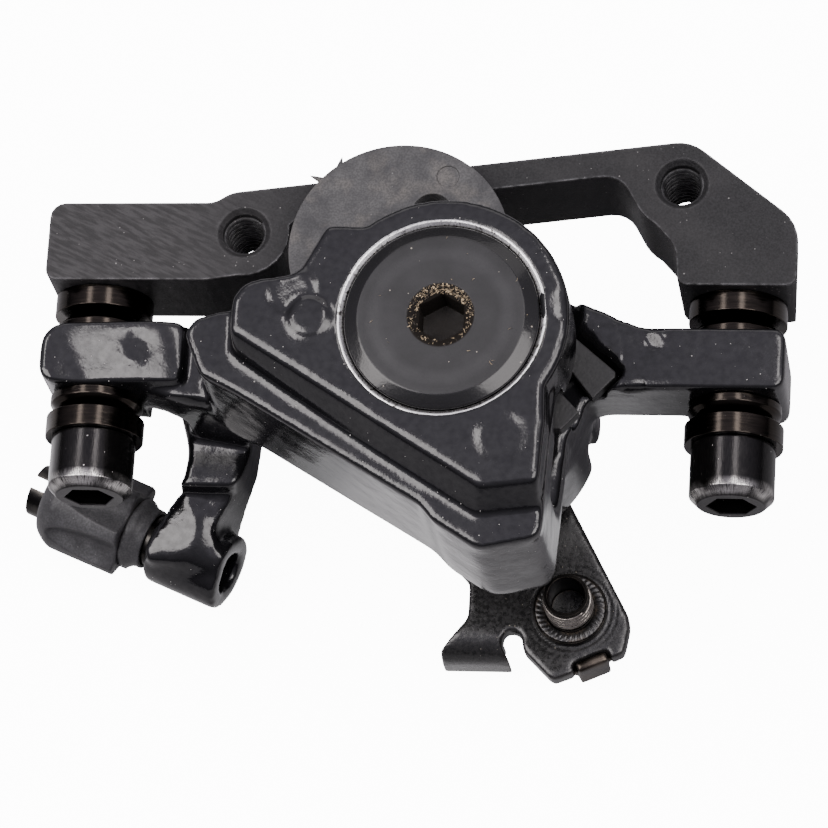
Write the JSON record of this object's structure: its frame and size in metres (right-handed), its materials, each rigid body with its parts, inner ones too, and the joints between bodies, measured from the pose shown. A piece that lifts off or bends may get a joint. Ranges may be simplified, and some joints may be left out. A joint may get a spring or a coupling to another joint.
{
  "type": "bicycle disc brake caliper",
  "caption": "Cable-pulled bicycle disc brake caliper with a swinging lever, ball ramp drive, pad adjuster and barrel adjuster, bolted through spherical washers to a frame adapter.",
  "frame": {"origin": "on the pad axis, in the middle plane of the rotor", "axes": "+Z along the rotor axis towards the wheel, +X along the line of the two mount bolts, +Y towards the rotor's axle"},
  "size_m": [0.0922, 0.0581, 0.0466],
  "materials": {
    "body_paint": "gloss black paint on a casting",
    "adapter_black": "matt black coating",
    "black_steel": "black oxide on steel",
    "washer_steel": "burnished black oxide",
    "pad_steel": "matt black coating on steel",
    "bright_steel": "machined steel",
    "spring_steel": "drawn wire",
    "bearing_bronze": "sintered bronze",
    "seal_rubber": "moulded rubber",
    "knob_plastic": "moulded black plastic",
    "spacer_plastic": "moulded grey plastic",
    "friction": "pressed friction compound",
    "magnet": "nickel plating"
  },
  "bodies": {
    "caliper": {"caliper_body": "body_paint", "adapter_bracket": "adapter_black", "mount_bolts": "black_steel", "upper_cup_washers": "washer_steel", "upper_ball_washers": "washer_steel", "lower_ball_washers": "washer_steel", "lower_cup_washers": "washer_steel", "thrust_washer": "bearing_bronze", "shaft_bush": "bearing_bronze", "dust_seal": "seal_rubber", "return_spring": "spring_steel"},
    "lever": {"lever_arm": "black_steel", "cam_shaft": "bright_steel", "ramp_balls": "bright_steel", "lever_washer": "bright_steel", "lever_bolt": "black_steel", "pinch_collar": "black_steel", "pinch_bolt": "black_steel", "pinch_washer": "black_steel"},
    "outboard_pad": {"pressure_foot": "bright_steel", "outboard_pad_plate": "pad_steel", "outboard_pad_lining": "friction", "outboard_magnet": "magnet"},
    "inboard_pad": {"inboard_pad_plate": "pad_steel", "inboard_pad_lining": "friction"},
    "adjuster": {"pad_adjuster": "black_steel", "adjuster_o_ring": "seal_rubber", "inboard_magnet": "magnet"},
    "barrel_slider": {"barrel_ring": "knob_plastic"},
    "barrel": {"barrel_screw": "bright_steel", "barrel_knob": "knob_plastic"},
    "spacer": {"transport_spacer": "spacer_plastic"}
  },
  "joints": [
    {"name": "lever_pivot", "type": "hinge", "parent": "caliper", "child": "lever", "pos_m": [0, 0, -0.02], "axis": [0, 0, -1], "range_deg": [0, 30], "stiffness_Nm_per_rad": 0.4, "springref_deg": -28.65, "deforming": ["return_spring"]},
    {"name": "outboard_pad_slide", "type": "slide", "parent": "caliper", "child": "outboard_pad", "axis": [0, 0, 1], "range_m": [0, 0.0009]},
    {"name": "inboard_pad_slide", "type": "slide", "parent": "caliper", "child": "inboard_pad", "axis": [0, 0, -1], "range_m": [-0.0012, 0.0004]},
    {"name": "adjuster_turn", "type": "hinge", "parent": "inboard_pad", "child": "adjuster", "pos_m": [0, 0, 0.01], "axis": [0, 0, -1], "range_deg": [-433, 145]},
    {"name": "barrel_slide", "type": "slide", "parent": "caliper", "child": "barrel_slider", "axis": [-0.9191, 0.3939, 0], "range_m": [-0.0008, 0.0024]},
    {"name": "barrel_turn", "type": "hinge", "parent": "barrel_slider", "child": "barrel", "pos_m": [-0.03973, -0.01237, -0.026], "axis": [-0.9191, 0.3939, 0], "range_deg": [-361, 1081]},
    {"name": "spacer_pull", "type": "slide", "parent": "caliper", "child": "spacer", "axis": [0, 1, 0], "range_m": [0, 0.038]}
  ],
  "couplings": [
    {"joint": "outboard_pad_slide", "follows": "lever_pivot", "m_per_rad": 0.0017189},
    {"joint": "adjuster_turn", "follows": "inboard_pad_slide", "rad_per_m": 6283.2},
    {"joint": "barrel_turn", "follows": "barrel_slide", "rad_per_m": 7854}
  ]
}
